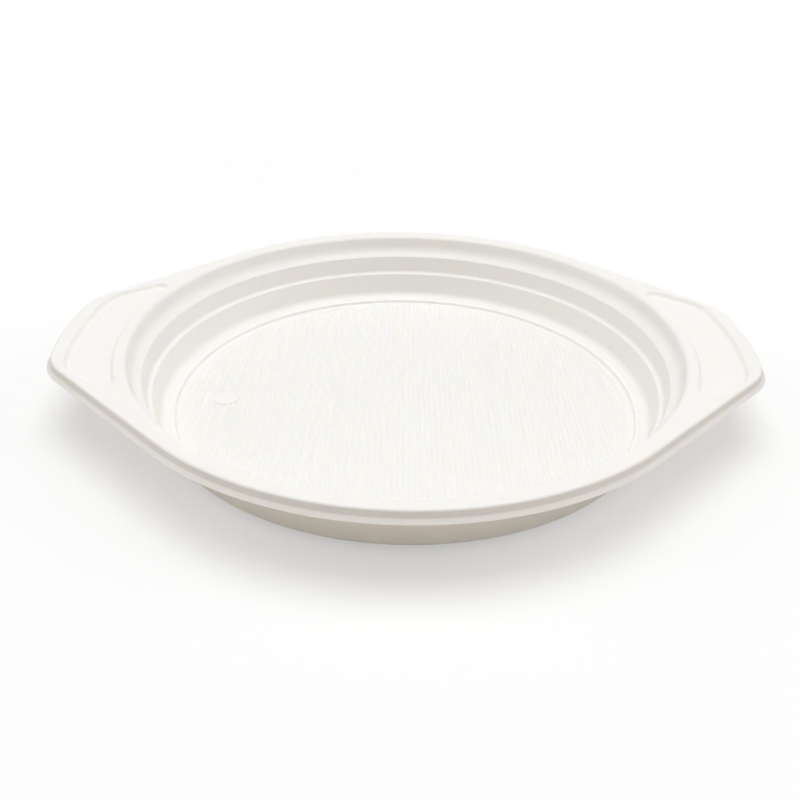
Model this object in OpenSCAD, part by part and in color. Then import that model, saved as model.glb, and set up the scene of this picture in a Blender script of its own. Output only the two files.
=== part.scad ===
// Plate with two ears, formed in one piece from a thin plastic sheet.
// It stands on its floor at z = 0, Z points up, and the ears point along X.
// Every section is a bent strip of the sheet: its upper side is drawn corner by corner from the
// centre outwards, each corner is rounded, and the lower side runs one sheet thickness below it.
// The bowl is such a strip turned about Z. The rim's edge and the walls of the ears' panels are
// strips carried round an outline that grows with the distance from it.

/* [Sheet] */
// Thickness of the formed sheet
sheet_t = 0.5; // [0.3:0.05:0.9]

/* [Floor] */
// Diameter of the floor, inside its low step
floor_d = 167; // [140:0.1:220]
// Height of the low step round the floor
floor_step_h = 0.9; // [0.4:0.1:1.4]
// Width that the low step leans outwards
floor_step_run = 0.6; // [0.2:0.1:0.8]
// Radius at the two corners of the low step
floor_step_r = 0.3; // [0.3:0.05:0.45]
// Width of the plain ring between the low step and the ribbed field
field_margin = 3.2; // [1:0.1:12]
// Depth that the ribbed field lies below the plain ring round it
field_step_h = 0.2; // [0.1:0.05:0.4]
// Width that the edge of the ribbed field leans outwards
field_step_run = 0.2; // [0.1:0.05:0.4]

/* [Bowl wall] */
// Width of the flat ring outside the low step
heel_land_w = 1; // [0.8:0.1:2]
// Width of the sloping heel
heel_run = 3.2; // [1.5:0.1:5]
// Height of the sloping heel
heel_h = 1.3; // [1:0.1:4]
// Height of the low wall, above the heel
low_wall_h = 8.7; // [4:0.1:14]
// Width that the low wall leans outwards
low_wall_run = 2.1; // [0.8:0.1:4]
// Width of the narrow ledge above the low wall
low_ledge_w = 1.6; // [1.5:0.1:6]
// Rise of the narrow ledge towards its outer edge
low_ledge_rise = 0.2; // [0:0.05:0.5]
// Height of the middle wall, between the two ledges
mid_wall_h = 6.9; // [3:0.1:12]
// Width that the middle wall leans outwards
mid_wall_run = 1.1; // [0.6:0.1:4]
// Width of the sloping upper ledge
top_ledge_w = 3; // [2:0.1:7]
// Rise of the upper ledge towards its outer edge
top_ledge_rise = 2.3; // [0.2:0.1:2.8]
// Height of the upper wall, from the upper ledge to the rim
top_wall_h = 5.7; // [4:0.1:12]
// Width that the upper wall leans outwards
top_wall_run = 1.2; // [0.8:0.1:4]
// Radius at the heel's foot and at the corners of the ledges
bend_r = 0.7; // [0.6:0.05:0.9]
// Radius of the hollow corner between the heel and the low wall
low_hollow_r = 2.6; // [0.6:0.1:4]
// Radius of the hollow corner between the upper ledge and the upper wall
top_hollow_r = 5; // [1:0.1:6]
// Radius of the corner between the upper wall and the rim
mouth_r = 1.5; // [0.9:0.1:2]

/* [Rim and skirt] */
// Width of the flat rim, from the corner of the upper wall to the outer edge
rim_w = 5.8; // [5:0.1:12]
// Radius at the rim's outer edge
edge_r = 0.9; // [0.9:0.1:1.4]
// Height of the skirt that turns down from the rim
skirt_h = 2.3; // [2.1:0.1:8]
// Width that the skirt leans outwards
skirt_run = 0.7; // [0.1:0.1:1.5]
// Width of the lip that turns out at the skirt's foot
lip_w = 1.1; // [1:0.1:4]
// Drop of the lip towards its outer edge
lip_drop = 1.3; // [0:0.1:1.6]
// Radius of the bend between the skirt and the lip
lip_r = 1.2; // [0.3:0.05:1.2]

/* [Ears] */
// Reach of each ear beyond the round rim
ear_reach = 19; // [14:0.5:35]
// Angle of the ear's straight sides, which touch the round rim there, from X
ear_angle = 45; // [38:1:52]
// Radius of the ear's slightly curved end
ear_end_r = 140; // [80:5:300]
// Radius of the ear's two corners
ear_corner_r = 24; // [10:1:30]

/* [Ear panels] */
// Depth of the sunk panel on each ear
panel_depth = 1.4; // [0.5:0.1:1.6]
// Width of the panel's sloping wall
panel_wall_run = 1.1; // [0.6:0.1:1.6]
// Radius at the two bends of the panel's wall
panel_bend_r = 0.6; // [0.3:0.05:0.7]
// Width of the ring between the upper wall and the panel
panel_gap = 4.3; // [4.1:0.1:6]
// Distance between the panel and the ear's end
panel_margin = 5.4; // [5:0.1:8]
// Half of the angle that the panel spans, at its inner edge
panel_half_angle = 27.4; // [16:0.1:30]
// Angle of the panel's straight sides, from X
panel_angle = 53; // [50:1:58]
// Radius of the panel's outer corners
panel_corner_r = 12; // [5:0.5:14]
// Radius of the panel's pointed tips
panel_tip_r = 3; // [1.8:0.1:4]

/* [Ribs and marks] */
// Distance from rib to rib
rib_pitch = 1.91; // [1.5:0.01:6]
// Width of a rib at its foot
rib_w = 1.3; // [0.6:0.1:1.4]
// Height of a rib
rib_h = 0.2; // [0.1:0.05:0.4]
// Diameter of the two plain round marks
mark_d = 10; // [6:0.5:16]
// Height of a mark above the ribs
mark_rise = 0.1; // [0.05:0.05:0.3]
// Distance between a mark and the edge of the ribbed field
mark_margin = 9.3; // [4:0.1:20]
// Distance that the marks lie in front of the middle
mark_offset = 3.5; // [0:0.5:10]
// Width of the fine ring round a mark
mark_ring_w = 0.6; // [0.4:0.1:1]
// Height of that ring above the mark
mark_ring_h = 0.15; // [0.1:0.05:0.3]

/* [Hidden] */
$fn = 180;

sheet_white = [0.97, 0.96, 0.94];
bend_step = 50;            // largest turn between two points of a rounded corner
sag = 0.08;                // largest distance between an outline's arc and its chords
lap = 0.6;                 // width over which neighbouring parts of the sheet share their flat
least_r = 0.3;             // a corner of the strip with a smaller radius is left sharp
root = 0.2;                // depth that ribs and marks reach into the floor
rib_margin = 0.4;          // distance between a rib's end and the edge of the ribbed field

// Corners of the upper side, from the floor outwards
field_z = sheet_t;
floor_z = field_z + field_step_h;
floor_r = floor_d/2;
field_r = floor_r - field_margin;
heel_z = floor_z + floor_step_h;
low_wall_z = heel_z + heel_h;
low_ledge_z = low_wall_z + low_wall_h;
mid_wall_z = low_ledge_z + low_ledge_rise;
top_ledge_z = mid_wall_z + mid_wall_h;
top_wall_z = top_ledge_z + top_ledge_rise;
rim_z = top_wall_z + top_wall_h;
heel_land_r = floor_r + floor_step_run;
heel_foot_r = heel_land_r + heel_land_w;
low_wall_r = heel_foot_r + heel_run;
low_ledge_r = low_wall_r + low_wall_run;
mid_wall_r = low_ledge_r + low_ledge_w;
top_ledge_r = mid_wall_r + mid_wall_run;
top_wall_r = top_ledge_r + top_ledge_w;
mouth_edge_r = top_wall_r + top_wall_run;
rim_r = mouth_edge_r + rim_w;
mouth_flat_r = mouth_edge_r + mouth_r;

// Small vector helpers
function along(a) = [cos(a), sin(a)];
function turned(v, a) = [v.x*cos(a) - v.y*sin(a), v.x*sin(a) + v.y*cos(a)];
function unit(v) = v/norm(v);
function bearing(v) = atan2(v.y, v.x);
function right_of(v) = [v.y, -v.x];
function turn_between(u, v) = atan2(u.x*v.y - u.y*v.x, u*v);
function steps(turn, step) = max(1, ceil(abs(turn)/step));

// A corner between the directions u and v, as an arc of radius r
function bend(corner, u, v, r) =
    let (turn = turn_between(u, v), way = sign(turn), n = steps(turn, bend_step))
    let (start = corner - u*r*tan(abs(turn)/2), centre = start - right_of(u)*way*r)
    r < least_r ? [corner] : [for (i = [0:n]) centre + turned(start - centre, turn*i/n)];

// The path through rounded corners, moved by gap to its right. A corner is [x, z, radius].
function moved_path(corners, gap) =
    let (last = len(corners) - 1, p = [for (c = corners) [c[0], c[1]]])
    let (d = [for (i = [0:last - 1]) unit(p[i + 1] - p[i])])
    [for (i = [0:last])
        let (u = d[max(i - 1, 0)], v = d[min(i, last - 1)], way = sign(turn_between(u, v)))
        let (corner = p[i] + (right_of(u) + right_of(v))*gap/(1 + u*v))
        each bend(corner, u, v, corners[i][2] == 0 ? 0 : corners[i][2] + way*gap)];

// A strip of the sheet under the path through these corners
function strip(corners) =
    let (under = moved_path(corners, sheet_t))
    concat(moved_path(corners, 0), [for (i = [len(under) - 1:-1:0]) under[i]]);

bowl_corners = [
    [0, field_z, 0],
    [field_r, field_z, 0],
    [field_r + field_step_run, floor_z, 0],
    [floor_r, floor_z, floor_step_r],
    [heel_land_r, heel_z, floor_step_r],
    [heel_foot_r, heel_z, bend_r],
    [low_wall_r, low_wall_z, low_hollow_r],
    [low_ledge_r, low_ledge_z, bend_r],
    [mid_wall_r, mid_wall_z, bend_r],
    [top_ledge_r, top_ledge_z, bend_r],
    [top_wall_r, top_wall_z, top_hollow_r],
    [mouth_edge_r, rim_z, mouth_r],
    [mouth_flat_r + lap, rim_z, 0]];

// Across the rim's edge, outwards from the outline
edge_flat = -edge_r;
edge_corners = [
    [edge_flat - lap, rim_z, 0],
    [0, rim_z, edge_r],
    [skirt_run, rim_z - skirt_h, lip_r],
    [skirt_run + lip_w, rim_z - skirt_h - lip_drop, 0]];

// Across the panel's wall, outwards from the middle of the wall
panel_z = rim_z - panel_depth;
panel_foot = panel_wall_run/2;
panel_flat = panel_foot + 0.7*panel_bend_r;
panel_corners = [
    [-panel_flat - lap, panel_z, 0],
    [-panel_foot, panel_z, panel_bend_r],
    [panel_foot, rim_z, panel_bend_r],
    [panel_flat + lap, rim_z, 0]];

// Centre of a corner of radius r, inside a side line and inside an end arc about [end_x, 0]
function corner_centre(side_d, side_a, r, end_x, end_r) =
    let (m = right_of(along(side_a)), q = (side_d - r)*along(side_a) - [end_x, 0])
    let (s = sqrt(pow(q*m, 2) - q*q + pow(end_r - r, 2)) - q*m)
    (side_d - r)*along(side_a) + s*m;

// The ear's outline
ear_end_x = rim_r + ear_reach - ear_end_r;
ear_corner = corner_centre(rim_r, ear_angle, ear_corner_r, ear_end_x, ear_end_r);
ear_end_angle = bearing(ear_corner - [ear_end_x, 0]);

// The panel's outline
panel_in_r = mouth_edge_r + panel_gap;
panel_end_r = ear_end_r - panel_margin;
panel_side_d = panel_in_r*cos(panel_angle - panel_half_angle);
panel_corner = corner_centre(panel_side_d, panel_angle, panel_corner_r, ear_end_x, panel_end_r);
panel_end_angle = bearing(panel_corner - [ear_end_x, 0]);
panel_tip_d = panel_side_d - panel_tip_r;
panel_tip = panel_tip_d*along(panel_angle)
    + sqrt(pow(panel_in_r + panel_tip_r, 2) - pow(panel_tip_d, 2))*right_of(along(panel_angle));
panel_tip_angle = bearing(panel_tip);

// Points of an arc of radius r about a centre, grown by g. Their number doesn't change with g.
// Where the outline goes on at once in another arc, the last point is left to that arc.
function arc(centre, r, g, from, to, last = true) =
    let (n = steps(to - from, 2*acos(1 - sag/r)))
    [for (i = [0:last ? n : n - 1]) centre + (r + g)*along(from + (to - from)*i/n)];

// The plate's outline, grown by g: one quarter, then all four
function quarter_outline(g) = concat(
    arc([ear_end_x, 0], ear_end_r, g, 0, ear_end_angle, last = false),
    arc(ear_corner, ear_corner_r, g, ear_end_angle, ear_angle),
    arc([0, 0], rim_r, g, ear_angle, 90));
function outline(g) =
    let (q = quarter_outline(g), n = len(q) - 1)
    concat(q, [for (i = [n - 1:-1:0]) [-q[i].x, q[i].y]],
        [for (i = [1:n]) -q[i]], [for (i = [n - 1:-1:1]) [q[i].x, -q[i].y]]);

// The panel's outline, grown by g: its upper half, then both
function half_panel(g) = concat(
    arc([ear_end_x, 0], panel_end_r, g, 0, panel_end_angle, last = false),
    arc(panel_corner, panel_corner_r, g, panel_end_angle, panel_angle),
    arc(panel_tip, panel_tip_r, g, panel_angle, panel_tip_angle + 180, last = false),
    arc([0, 0], panel_in_r, -g, panel_tip_angle, 0));
function panel_outline(g) =
    let (h = half_panel(g), n = len(h) - 1)
    concat(h, [for (i = [n - 1:-1:1]) [h[i].x, -h[i].y]]);

// A closed ring of sheet. Each of the outlines that it runs through has as many points.
module sheet_ring(outlines) {
    n = len(outlines[0]);
    m = len(outlines);
    polyhedron([for (o = outlines) each o],
        [for (k = [0:m - 1], i = [0:n - 1])
            let (i2 = (i + 1)%n, k2 = (k + 1)%m) [k*n + i, k*n + i2, k2*n + i2, k2*n + i]]);
}
function raised(outline, z) = [for (p = outline) [p.x, p.y, z]];

module both_ears() {
    children();
    mirror([1, 0, 0]) children();
}

// Floor, heel, walls and ledges
module bowl() {
    rotate_extrude() polygon(strip(bowl_corners));
}

// Flat face of the rim and of the ears, with openings for the bowl and the panels
module rim_face() {
    translate([0, 0, rim_z - sheet_t]) linear_extrude(sheet_t) difference() {
        polygon(outline(edge_flat - lap/2));
        circle(mouth_flat_r + lap/2);
        both_ears() polygon(panel_outline(panel_flat + lap/2));
    }
}

// Rounded edge, skirt and lip, all the way round
module rim_edge() {
    sheet_ring([for (s = strip(edge_corners)) raised(outline(s.x), s.y)]);
}

// Sunk panel on one ear
module ear_panel() {
    sheet_ring([for (s = strip(panel_corners)) raised(panel_outline(s.x), s.y)]);
    translate([0, 0, panel_z - sheet_t]) linear_extrude(sheet_t)
        polygon(panel_outline(-panel_flat - lap/2));
}

// Low rounded ribs along Y, each as long as the field lets it be
module ribs() {
    count = floor((field_r - rib_w)/rib_pitch);
    section = [[-rib_w/2, -root], [rib_w/2, -root], for (a = [0:45:180]) [rib_w/2*cos(a), rib_h*sin(a)]];
    for (i = [-count:count]) {
        x = i*rib_pitch;
        reach = sqrt(pow(field_r - rib_margin, 2) - pow(abs(x) + rib_w/2, 2));
        translate([x, reach, field_z]) rotate([90, 0, 0]) linear_extrude(2*reach) polygon(section);
    }
}

// Two plain round marks among the ribs, each with a fine ring at its edge
module marks() {
    mark_x = field_r - mark_margin - mark_d/2;
    mark_h = rib_h + mark_rise;
    for (x = [-1, 1]*mark_x) translate([x, -mark_offset, field_z]) {
        translate([0, 0, -root]) cylinder(d = mark_d, h = root + mark_h);
        rotate_extrude() translate([mark_d/2 - mark_ring_w, 0]) square([mark_ring_w, mark_h + mark_ring_h]);
    }
}

module plate() {
    color(sheet_white) {
        bowl();
        rim_face();
        rim_edge();
        both_ears() ear_panel();
        ribs();
        marks();
    }
}

plate();
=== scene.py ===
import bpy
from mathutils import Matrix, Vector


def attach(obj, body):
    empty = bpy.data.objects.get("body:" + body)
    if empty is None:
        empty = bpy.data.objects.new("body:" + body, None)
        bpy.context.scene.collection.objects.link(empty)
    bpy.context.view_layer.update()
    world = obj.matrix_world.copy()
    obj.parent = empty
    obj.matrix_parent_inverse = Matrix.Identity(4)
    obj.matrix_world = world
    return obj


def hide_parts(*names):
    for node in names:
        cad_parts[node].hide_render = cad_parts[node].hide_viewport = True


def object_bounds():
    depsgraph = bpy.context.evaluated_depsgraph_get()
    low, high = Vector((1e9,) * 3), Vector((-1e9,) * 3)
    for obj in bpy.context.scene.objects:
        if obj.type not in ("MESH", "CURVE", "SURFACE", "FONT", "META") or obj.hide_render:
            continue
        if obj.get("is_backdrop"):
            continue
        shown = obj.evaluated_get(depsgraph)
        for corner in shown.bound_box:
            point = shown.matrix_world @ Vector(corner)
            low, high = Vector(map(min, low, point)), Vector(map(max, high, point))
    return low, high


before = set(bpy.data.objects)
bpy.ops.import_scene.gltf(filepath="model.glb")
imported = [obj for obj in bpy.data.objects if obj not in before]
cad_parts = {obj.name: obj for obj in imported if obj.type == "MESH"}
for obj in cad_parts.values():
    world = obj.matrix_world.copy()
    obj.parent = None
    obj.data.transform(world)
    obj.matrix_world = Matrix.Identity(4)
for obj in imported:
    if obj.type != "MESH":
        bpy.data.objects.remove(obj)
cad_low, cad_high = (list(corner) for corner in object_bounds())

import math

import bpy
from mathutils import Matrix, Vector

# The view. The plate is seen from in front and above, with a lens slightly longer than
# normal, and the camera leans about one degree.
MM = 0.001
camera_place = Vector((-1.895, -291.067, 171.512))*MM
camera_elevation = 30.69
camera_roll = 0.949
camera_lens = 40.739
sensor_w = 36.0

camera_data = bpy.data.cameras.new("camera")
camera_data.lens = camera_lens
camera_data.sensor_width = sensor_w
camera_data.clip_start = 0.01
camera_data.clip_end = 20.0
camera = bpy.data.objects.new("camera", camera_data)
camera.matrix_world = (
    Matrix.Translation(camera_place)
    @ Matrix.Rotation(math.radians(90 - camera_elevation), 4, "X")
    @ Matrix.Rotation(math.radians(camera_roll), 4, "Z")
)
bpy.context.scene.collection.objects.link(camera)
bpy.context.scene.camera = camera

# The bowl. One thin sheet of white polystyrene is drawn down over a mould, so the floor,
# the heel, the three walls and the two ledges are one turned section with soft bends.
# One quarter is modelled here, and the whole plate is mirrored from it later.
sheet_t = 0.5*MM
field_r = 80.3*MM          # the ribbed field of the floor
field_z = sheet_t
field_bend_r = 0.15*MM
rim_z = cad_high[2]
mouth_edge_r = 97.3*MM
mouth_r = 1.5*MM
flat_w = 0.3*MM            # flat of the rim that each bent section ends with
hair = 0.001*MM            # places closer than this are one place
bowl_steps = 60            # faces round a quarter of the bowl
bend_steps = 4             # faces across a bend

# Run, rise and radius of the bend at its end, in mm, of each stretch from the field outwards
bowl_stretches = {
    "fine step": (0.2, 0.2, 0.15),
    "border": (2.4, 0.0, 0.2),
    "groove": (0.5, -0.2, 0.1),
    "floor step": (0.5, 1.1, 0.3),
    "land": (1.2, 0.0, 0.7),
    "heel": (3.2, 1.3, 2.6),
    "low wall": (2.1, 8.7, 0.7),
    "low ledge": (1.6, 0.2, 1.1),
    "middle wall": (1.1, 6.9, 0.7),
    "top ledge": (3.0, 2.3, 5.0),
}
bowl_corners = [(field_r, field_z, field_bend_r)]
for run, rise, bend_r in bowl_stretches.values():
    inner = bowl_corners[-1]
    bowl_corners.append((inner[0] + run*MM, inner[1] + rise*MM, bend_r*MM))
bowl_corners.append((mouth_edge_r, rim_z, mouth_r))


def start_point(place):
    """Leaves one selected vertex at a place, in edit mode of a new object."""
    bpy.ops.object.select_all(action="DESELECT")
    bpy.ops.mesh.primitive_circle_add(vertices=3, radius=MM)
    bpy.ops.object.mode_set(mode="EDIT")
    bpy.ops.mesh.select_all(action="SELECT")
    bpy.ops.mesh.merge(type="CENTER")
    bpy.ops.transform.translate(value=place)


def pick(test):
    """Selects the vertices that pass a test, in edit mode."""
    bpy.ops.mesh.select_mode(type="VERT")
    bpy.ops.mesh.select_all(action="DESELECT")
    bpy.ops.object.mode_set(mode="OBJECT")
    for vertex in bpy.context.object.data.vertices:
        vertex.select = test(vertex.co)
    bpy.ops.object.mode_set(mode="EDIT")


def draw_section(first, corners, last):
    """Draws a section in the plane Y = 0, corner by corner, rounds it and leaves it selected."""
    path = [Vector((c[0], 0, c[1])) for c in (first, *corners, last)]
    start_point(path[0])
    for a, b in zip(path, path[1:]):
        bpy.ops.mesh.extrude_region_move(TRANSFORM_OT_translate={"value": b - a})
    for before, corner, after, sizes in zip(path, path[1:], path[2:], corners):
        turn = (corner - before).angle(after - corner)
        pick(lambda co: (co - corner).length < hair)
        bpy.ops.mesh.bevel(
            affect="VERTICES", offset=sizes[2]*math.tan(turn/2), offset_type="OFFSET",
            segments=bend_steps, profile=0.5,
        )
    bpy.ops.mesh.select_all(action="SELECT")


def turn_section(centre, degrees, steps):
    """Carries the selected section round an upright axis and leaves its last copy selected."""
    bpy.ops.mesh.spin(
        steps=steps, angle=math.radians(degrees), center=(centre[0], centre[1], 0),
        axis=(0, 0, -1),
    )


def push_section(way):
    """Carries the selected section along a straight line and leaves its last copy selected."""
    bpy.ops.mesh.extrude_region_move(TRANSFORM_OT_translate={"value": (way[0], way[1], 0)})


mouth_flat_r = mouth_edge_r + mouth_r + flat_w
field_lap = 0.4*MM         # flat that the bowl's section starts with, under the ribs' edge
draw_section((field_r - field_lap, field_z), bowl_corners, (mouth_flat_r, rim_z))
turn_section((0, 0), 90, bowl_steps)
bpy.ops.object.mode_set(mode="OBJECT")
bowl = bpy.context.object

# The ribbed floor. Fine parallel ribs stiffen the floor. They run from the front of the
# plate to its back, and each one fades out just inside the edge of the round field.
rib_pitch = 1.91*MM
rib_w = 1.3*MM
rib_h = 0.3*MM
rib_count = 41             # ribs on each side of the middle one
rib_columns = 8            # faces across one rib and its valley
rib_fade = 0.8*MM
rib_margin = 1.0*MM        # between the ribs' ends and the edge of the field
ribbed_r = field_r - rib_margin
end_rows = [0.0, 0.15, 0.35, 0.6, 0.9, 1.3]   # rows of faces at a rib's end, in mm from it
long_rows = 8              # rows of faces along the rest of a rib


def rib_height(x, edge_distance):
    """Height of the ribs at x, at a distance from the end of the ribbed field."""
    nearest = round(x/rib_pitch)
    across = abs(x - nearest*rib_pitch)/(rib_w/2)
    fade = min(max(edge_distance/rib_fade, 0), 1)
    if across >= 1 or nearest > rib_count:
        return 0
    return rib_h*(0.5 + 0.5*math.cos(math.pi*across))*fade*fade*(3 - 2*fade)


columns = math.ceil(ribbed_r/rib_pitch*rib_columns)
rows = long_rows + len(end_rows) - 1
bpy.ops.object.select_all(action="DESELECT")
bpy.ops.mesh.primitive_grid_add(x_subdivisions=columns, y_subdivisions=rows, size=1)
ribs = bpy.context.object
for vertex in ribs.data.vertices:
    column = round((vertex.co.x + 0.5)*columns)
    row = round((vertex.co.y + 0.5)*rows)
    x = min(column*rib_pitch/rib_columns, ribbed_r)
    reach = math.sqrt(ribbed_r**2 - x**2)
    if row > long_rows:
        y = max(reach - end_rows[rows - row]*MM, 0)
    else:
        y = max(reach - end_rows[-1]*MM, 0)*row/long_rows
    vertex.co = (x, y, field_z + rib_height(x, ribbed_r - math.hypot(x, y)))

# The rim's edge. Outside the bowl the sheet is flat, widens into an ear on each side, and
# then turns down in a short skirt that ends in a narrow lip, where the sheet was trimmed.
rim_w = 5.8*MM
rim_r = mouth_edge_r + rim_w
edge_r = 0.9*MM
skirt_h = 2.3*MM
skirt_run = 0.7*MM
lip_w = 1.1*MM
lip_drop = 1.3*MM
lip_r = 1.2*MM
ear_reach = 19*MM
ear_angle = 45
ear_end_r = 140*MM
ear_corner_r = 24*MM
ear_end_x = rim_r + ear_reach - ear_end_r
end_steps = 8              # faces round half of an ear's end
corner_steps = 16          # faces round an ear's corner


def along(degrees):
    """Unit vector in plan, at an angle from X."""
    return Vector((math.cos(math.radians(degrees)), math.sin(math.radians(degrees))))


def bearing(way):
    """Angle of a vector in plan, from X."""
    return math.degrees(math.atan2(way.y, way.x))


def corner_centre(side_distance, side_angle, r, end_r):
    """Centre of a corner of radius r, inside an ear's straight side and inside its curved end."""
    forward = Vector((along(side_angle).y, -along(side_angle).x))
    start = (side_distance - r)*along(side_angle)
    q = start - Vector((ear_end_x, 0))
    run = math.sqrt(q.dot(forward)**2 - q.dot(q) + (end_r - r)**2) - q.dot(forward)
    return start + run*forward


ear_corner = corner_centre(rim_r, ear_angle, ear_corner_r, ear_end_r)
ear_end_angle = bearing(ear_corner - Vector((ear_end_x, 0)))
ear_x = rim_r + ear_reach
draw_section(
    (ear_x - edge_r - flat_w, rim_z),
    [(ear_x, rim_z, edge_r), (ear_x + skirt_run, rim_z - skirt_h, lip_r)],
    (ear_x + skirt_run + lip_w, rim_z - skirt_h - lip_drop),
)
turn_section((ear_end_x, 0), ear_end_angle, end_steps)
turn_section(ear_corner, ear_angle - ear_end_angle, corner_steps)
push_section((rim_r - ear_corner_r)*along(ear_angle) - ear_corner)
turn_section((0, 0), 90 - ear_angle, bowl_steps//2)
bpy.ops.object.mode_set(mode="OBJECT")
rim_edge = bpy.context.object

# The ears' panels. Each ear has a shallow sunk panel as a grip, which follows the bowl on
# its inner side and ends in two points. Its wall is carried round its outline here.
panel_depth = 1.4*MM
panel_wall_run = 1.1*MM
panel_bend_r = 0.7*MM
panel_gap = 4.3*MM         # between the bowl's mouth and a panel
panel_margin = 5.4*MM      # between a panel and the ear's end
panel_half_angle = 27.4
panel_angle = 53
panel_corner_r = 12*MM
panel_tip_r = 3.0*MM
panel_corner_steps = 8     # faces round a panel's corner
panel_tip_steps = 12       # faces round one of its points
panel_in_steps = 16        # faces along half of its inner side

panel_z = rim_z - panel_depth
panel_in_r = mouth_edge_r + panel_gap
panel_end_r = ear_end_r - panel_margin
panel_side = panel_in_r*math.cos(math.radians(panel_angle - panel_half_angle))
panel_corner = corner_centre(panel_side, panel_angle, panel_corner_r, panel_end_r)
panel_end_angle = bearing(panel_corner - Vector((ear_end_x, 0)))
tip_side = panel_side - panel_tip_r
tip_back = math.sqrt((panel_in_r + panel_tip_r)**2 - tip_side**2)
panel_tip = tip_side*along(panel_angle) + tip_back*along(panel_angle - 90)
panel_tip_angle = bearing(panel_tip)
panel_x = ear_end_x + panel_end_r
panel_flat = panel_wall_run/2 + panel_bend_r
draw_section(
    (panel_x - panel_flat, panel_z),
    [(panel_x - panel_wall_run/2, panel_z, panel_bend_r),
     (panel_x + panel_wall_run/2, rim_z, panel_bend_r)],
    (panel_x + panel_flat, rim_z),
)
turn_section((ear_end_x, 0), panel_end_angle, end_steps)
turn_section(panel_corner, panel_angle - panel_end_angle, panel_corner_steps)
push_section(panel_tip - panel_corner + (panel_tip_r - panel_corner_r)*along(panel_angle))
turn_section(panel_tip, panel_tip_angle + 180 - panel_angle, panel_tip_steps)
turn_section((0, 0), -panel_tip_angle, panel_in_steps)
bpy.ops.object.mode_set(mode="OBJECT")
panel_wall = bpy.context.object

# The whole sheet. The bent parts are joined by the flat of the rim, the floors of the
# panels and a narrow ring round the ribs, mirrored, and given the sheet's thickness.
gap_slack = 0.1*MM         # width that an open edge may lie outside its gap's radii
crease_angle = 40          # edges that turn more than this stay sharp


def join(objects):
    """Joins the objects into the first one and merges the points that they share."""
    bpy.ops.object.select_all(action="DESELECT")
    for piece in objects:
        piece.select_set(True)
    bpy.context.view_layer.objects.active = objects[0]
    bpy.ops.object.join()
    bpy.ops.object.mode_set(mode="EDIT")
    bpy.ops.mesh.select_all(action="SELECT")
    bpy.ops.mesh.remove_doubles(threshold=2*hair)
    bpy.ops.object.mode_set(mode="OBJECT")
    return objects[0]


def close_gap(z, low_r, high_r, links):
    """Fills the flat at height z between two radii, after links close its open edges' outline."""
    bpy.ops.object.mode_set(mode="EDIT")
    for a, b in links:
        pick(lambda co: min((co - Vector(a)).length, (co - Vector(b)).length) < 10*hair)
        bpy.ops.mesh.edge_face_add()
    bpy.ops.mesh.select_mode(type="EDGE")
    bpy.ops.mesh.select_all(action="DESELECT")
    bpy.ops.mesh.select_non_manifold(
        use_wire=True, use_boundary=True, use_multi_face=False, use_non_contiguous=False,
        use_verts=False,
    )
    bpy.ops.object.mode_set(mode="OBJECT")
    mesh = bpy.context.object.data
    for edge in mesh.edges:
        ends = [mesh.vertices[i].co for i in edge.vertices]
        level = all(abs(end.z - z) < hair for end in ends)
        between = all(low_r - gap_slack < end.xy.length < high_r + gap_slack for end in ends)
        edge.select = edge.select and level and between
    bpy.ops.object.mode_set(mode="EDIT")
    bpy.ops.mesh.fill(use_beauty=True)
    bpy.ops.object.mode_set(mode="OBJECT")


def face_outwards():
    """Points all faces of the object in edit mode the same way, and leaves edit mode."""
    bpy.ops.mesh.select_all(action="SELECT")
    bpy.ops.mesh.normals_make_consistent(inside=False)
    bpy.ops.object.mode_set(mode="OBJECT")


sheet = join([bowl, ribs, rim_edge, panel_wall])
ring_low = ribbed_r
ring_high = field_r - field_lap
close_gap(field_z, ring_low, ring_high, [
    ((ring_low, 0, field_z), (ring_high, 0, field_z)),
    ((0, ring_low, field_z), (0, ring_high, field_z)),
])
close_gap(rim_z, mouth_flat_r, cad_high[0], [
    ((mouth_flat_r, 0, rim_z), (panel_in_r - panel_flat, 0, rim_z)),
    ((panel_x + panel_flat, 0, rim_z), (ear_x - edge_r - flat_w, 0, rim_z)),
    ((0, mouth_flat_r, rim_z), (0, rim_r - edge_r - flat_w, rim_z)),
])
close_gap(panel_z, mouth_flat_r, cad_high[0], [
    ((panel_in_r + panel_flat, 0, panel_z), (panel_x - panel_flat, 0, panel_z)),
])
bpy.ops.object.mode_set(mode="EDIT")
face_outwards()
bpy.ops.object.modifier_add(type="MIRROR")
sheet.modifiers["Mirror"].use_axis = (True, True, False)
sheet.modifiers["Mirror"].merge_threshold = 2*hair
bpy.ops.object.modifier_apply(modifier="Mirror")
bpy.ops.object.mode_set(mode="EDIT")
face_outwards()
highest = max(sheet.data.polygons, key=lambda face: face.center.z*face.area)
if highest.normal.z < 0:
    sheet.data.flip_normals()
bpy.ops.object.modifier_add(type="SOLIDIFY")
sheet.modifiers["Solidify"].thickness = sheet_t
sheet.modifiers["Solidify"].offset = -1
sheet.modifiers["Solidify"].use_even_offset = True
bpy.ops.object.modifier_apply(modifier="Solidify")
sheet.name = "formed_sheet"

# The two round marks. Each is a plain raised disc between the ribs, pressed up with the
# sheet, with a fine ring at its edge.
mark_r = 5.0*MM
mark_h = 0.3*MM
mark_sink = 0.2*MM         # depth to which a mark runs into the floor
mark_ring_w = 0.6*MM
mark_ring_h = 0.15*MM
mark_bend_r = 0.06*MM
mark_margin = 9.3*MM       # from the edge of the ribbed field to the mark
mark_offset = 3.5*MM       # in front of the plate's middle
mark_low = field_z - mark_sink
mark_top = field_z + mark_h
mark_ring_top = mark_top + mark_ring_h
mark_steps = 96            # faces round a mark


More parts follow.
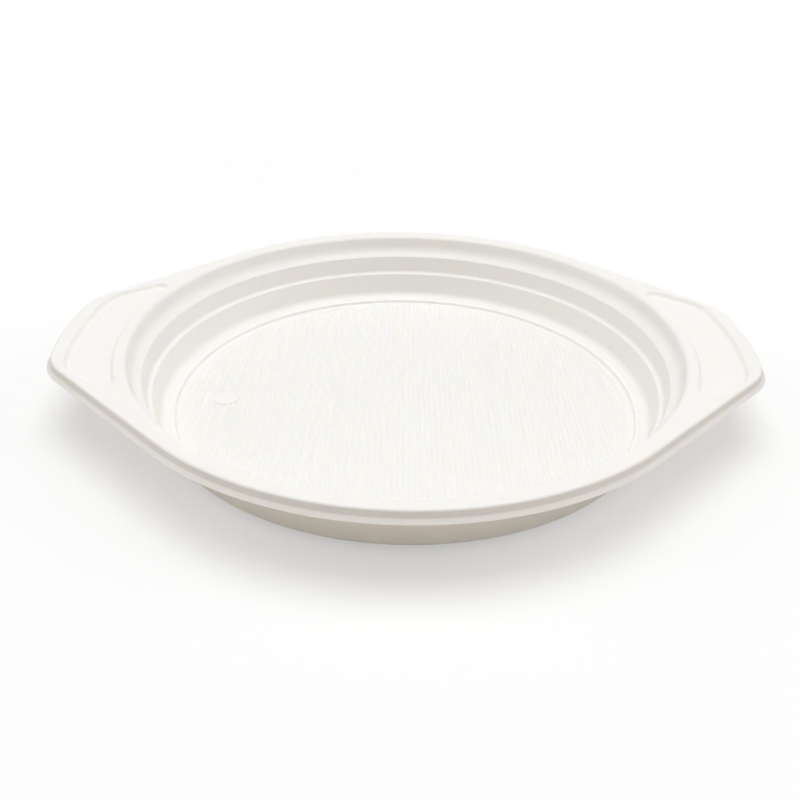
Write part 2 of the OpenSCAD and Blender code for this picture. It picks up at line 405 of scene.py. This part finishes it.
def make_mark(x):
    """One closed disc, turned at the origin and moved to its place at x."""
    draw_section(
        (0, mark_top),
        [(mark_r - mark_ring_w, mark_top, mark_bend_r),
         (mark_r - mark_ring_w, mark_ring_top, mark_bend_r),
         (mark_r, mark_ring_top, mark_bend_r),
         (mark_r, mark_low, mark_bend_r)],
        (0, mark_low),
    )
    turn_section((0, 0), 360, mark_steps)
    bpy.ops.mesh.select_all(action="SELECT")
    bpy.ops.mesh.remove_doubles(threshold=2*hair)
    bpy.ops.transform.translate(value=(x, -mark_offset, 0))
    face_outwards()
    return bpy.context.object


mark_x = field_r - mark_margin - mark_r
marks = join([make_mark(mark_x), make_mark(-mark_x)])
bpy.context.view_layer.objects.active = sheet
bpy.ops.object.modifier_add(type="BOOLEAN")
sheet.modifiers["Boolean"].operation = "UNION"
sheet.modifiers["Boolean"].object = marks
bpy.ops.object.modifier_apply(modifier="Boolean")
bpy.ops.object.delete()
bpy.ops.object.select_all(action="DESELECT")
sheet.select_set(True)
bpy.context.view_layer.objects.active = sheet
bpy.ops.object.shade_smooth_by_angle(angle=math.radians(crease_angle))
bpy.ops.object.modifier_add(type="WEIGHTED_NORMAL")
sheet.modifiers["WeightedNormal"].keep_sharp = True
bpy.ops.object.modifier_apply(modifier="WeightedNormal")
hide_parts("plate")
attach(sheet, "root")

# The plastic. It is opaque, warm white and softly glossy. Formed sheet has a faint
# unevenness of its gloss, and a ripple that only shows in reflections.
dull_white = (0.905, 0.887, 0.857, 1)
clean_white = (0.925, 0.909, 0.882, 1)
ripple_h = 0.05*MM


class Socket:
    """A number or colour that changes over a surface. Its sums add Math nodes."""

    def __init__(self, finish, socket):
        self.finish = finish
        self.socket = socket

    def sum(self, operation, other):
        return self.finish.add("ShaderNodeMath", {"operation": operation}, {0: self, 1: other})

    def __add__(self, other):
        return self.sum("ADD", other)

    def __mul__(self, other):
        return self.sum("MULTIPLY", other)

    __radd__ = __add__
    __rmul__ = __mul__


class Finish:
    """A material, and one way to add a node to it."""

    def __init__(self, name):
        self.material = bpy.data.materials.new(name)
        self.material.use_nodes = True
        self.tree = self.material.node_tree
        self.tree.nodes.clear()

    def add(self, kind, settings, inputs, output=0):
        node = self.tree.nodes.new(kind)
        for name, value in settings.items():
            setattr(node, name, value)
        for name, value in inputs.items():
            if isinstance(value, Socket):
                self.tree.links.new(value.socket, node.inputs[name])
            else:
                node.inputs[name].default_value = value
        return Socket(self, node.outputs[output]) if len(node.outputs) else None

    def noise(self, place, scale, detail):
        """Noise from 0 to 1, with its scale in waves to the metre."""
        return self.add(
            "ShaderNodeTexNoise", {}, {"Vector": place, "Scale": scale, "Detail": detail}, "Fac")

    def mix(self, factor, first, second):
        """Colour that goes from the first to the second as the factor goes from 0 to 1."""
        return self.add(
            "ShaderNodeMix", {"data_type": "RGBA"}, {"Factor": factor, 6: first, 7: second}, 2)

    def rise(self, value, start, end, low):
        """Number that goes from low to 1 as the value goes from start to end."""
        return self.add("ShaderNodeMapRange", {}, {
            "Value": value, "From Min": start, "From Max": end, "To Min": low}, "Result")

    def surface(self, shader):
        """Shows the shader on the surface."""
        self.add("ShaderNodeOutputMaterial", {}, {"Surface": shader})


plastic = Finish("warm_white_plastic")
place = plastic.add("ShaderNodeTexCoord", {}, {}, "Object")
cloud = plastic.noise(place, scale=22.0, detail=3.0)
grain = plastic.noise(place, scale=700.0, detail=2.0)
ripple = plastic.noise(place, scale=60.0, detail=1.0)
bump = plastic.add("ShaderNodeBump", {}, {
    "Strength": 0.25, "Distance": ripple_h, "Height": ripple*3.0 + grain*0.25}, "Normal")
plastic.surface(plastic.add("ShaderNodeBsdfPrincipled", {}, {
    "Base Color": plastic.mix(cloud, dull_white, clean_white),
    "Roughness": 0.40 + 0.08*cloud + 0.06*grain,
    "IOR": 1.5,
    "Specular IOR Level": 0.35,
    "Subsurface Weight": 0.8,
    "Subsurface Radius": (1.0, 0.9, 0.75),
    "Subsurface Scale": 0.3*MM,
    "Normal": bump,
}, "BSDF"))
sheet.data.materials.clear()
sheet.data.materials.append(plastic.material)

# The table. The plate stands on a table that the camera sees plain white, which keeps its shadow
# and fades into
# plain white further away. For light bounced onto the plate it is warm under the plate and dark
# brown beside it:
# the brown is painted shade that darkens the plate's skirt.
table_size = 8.0
table_drop = 0.02*MM       # the table's top under the plate's feet
table_white = (0.97, 0.97, 0.97, 1)
# Colours that only bounced light meets: a warm tint under the plate, and dark brown beside it,
# painted shade on the skirt.
warm_bounce_colour = (0.95, 0.91, 0.84, 1)
skirt_shade_colour = (0.45, 0.36, 0.26, 1)

bpy.ops.object.select_all(action="DESELECT")
bpy.ops.mesh.primitive_plane_add(size=table_size, location=(0, table_size/4, -table_drop))
table = bpy.context.object
table.name = "table"
paper = Finish("white_table")
seen = (
    paper.add("ShaderNodeLightPath", {}, {}, "Is Camera Ray")
    + paper.add("ShaderNodeLightPath", {}, {}, "Is Glossy Ray")
    + paper.add("ShaderNodeLightPath", {}, {}, "Is Transmission Ray")
)
table_place = paper.add("ShaderNodeTexCoord", {}, {}, "Object")
distance = paper.add("ShaderNodeVectorMath", {"operation": "LENGTH"}, {0: table_place}, "Value")
far_away = paper.rise(distance, start=0.2, end=0.45, low=0.4)
# Beside the plate the bounce turns to the dark brown painted shade for the skirt.
beside = paper.rise(distance, start=0.12, end=0.17, low=0.0)
bounce = paper.mix(beside, warm_bounce_colour, skirt_shade_colour)
table_colour = paper.mix(seen, bounce, table_white)
shade = paper.add("ShaderNodeBsdfDiffuse", {}, {"Color": table_colour}, "BSDF")
glow = paper.add("ShaderNodeEmission", {}, {"Color": (1, 1, 1, 1), "Strength": 1.0}, "Emission")
# Seen directly, a share of white glow lightens the table's shadow near the plate, and further
# away there is only glow.
paper.surface(paper.add("ShaderNodeMixShader", {}, {0: seen*far_away, 1: shade, 2: glow}))
table.data.transform(table.matrix_world)
table.matrix_world.identity()
table.data.materials.append(paper.material)
table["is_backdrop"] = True

# The light. It is soft, mostly from above, with a little from both sides, from the front
# and from behind, and a plain white sky fills the shadows.
sky_strength = 0.32

bpy.context.scene.view_settings.view_transform = "Standard"
sky = bpy.data.worlds.new("soft_sky")
sky.use_nodes = True
bpy.context.scene.world = sky
sky.node_tree.nodes["Background"].inputs["Color"].default_value = (1, 1, 1, 1)
sky.node_tree.nodes["Background"].inputs["Strength"].default_value = sky_strength


def lamp(name, place, size, power):
    """A soft lamp that shines at the middle of the plate."""
    data = bpy.data.lights.new(name, "AREA")
    data.shape = "RECTANGLE"
    data.size, data.size_y = size
    data.energy = power
    light = bpy.data.objects.new(name, data)
    aim = (-Vector(place)).to_track_quat("-Z", "Y").to_matrix().to_4x4()
    light.matrix_world = Matrix.Translation(place) @ aim
    bpy.context.scene.collection.objects.link(light)


lamp("overhead", place=(0, 0.08, 1.5), size=(1.2, 1.2), power=14.0)
lamp("front", place=(0, -0.8, 1.3), size=(0.9, 0.9), power=1.0)
lamp("left", place=(-1.3, 0.1, 0.8), size=(0.9, 0.9), power=3.2)
lamp("right", place=(1.3, 0.1, 0.8), size=(0.9, 0.9), power=3.9)
lamp("behind", place=(0, 1.5, 0.4), size=(1.6, 0.6), power=1.2)
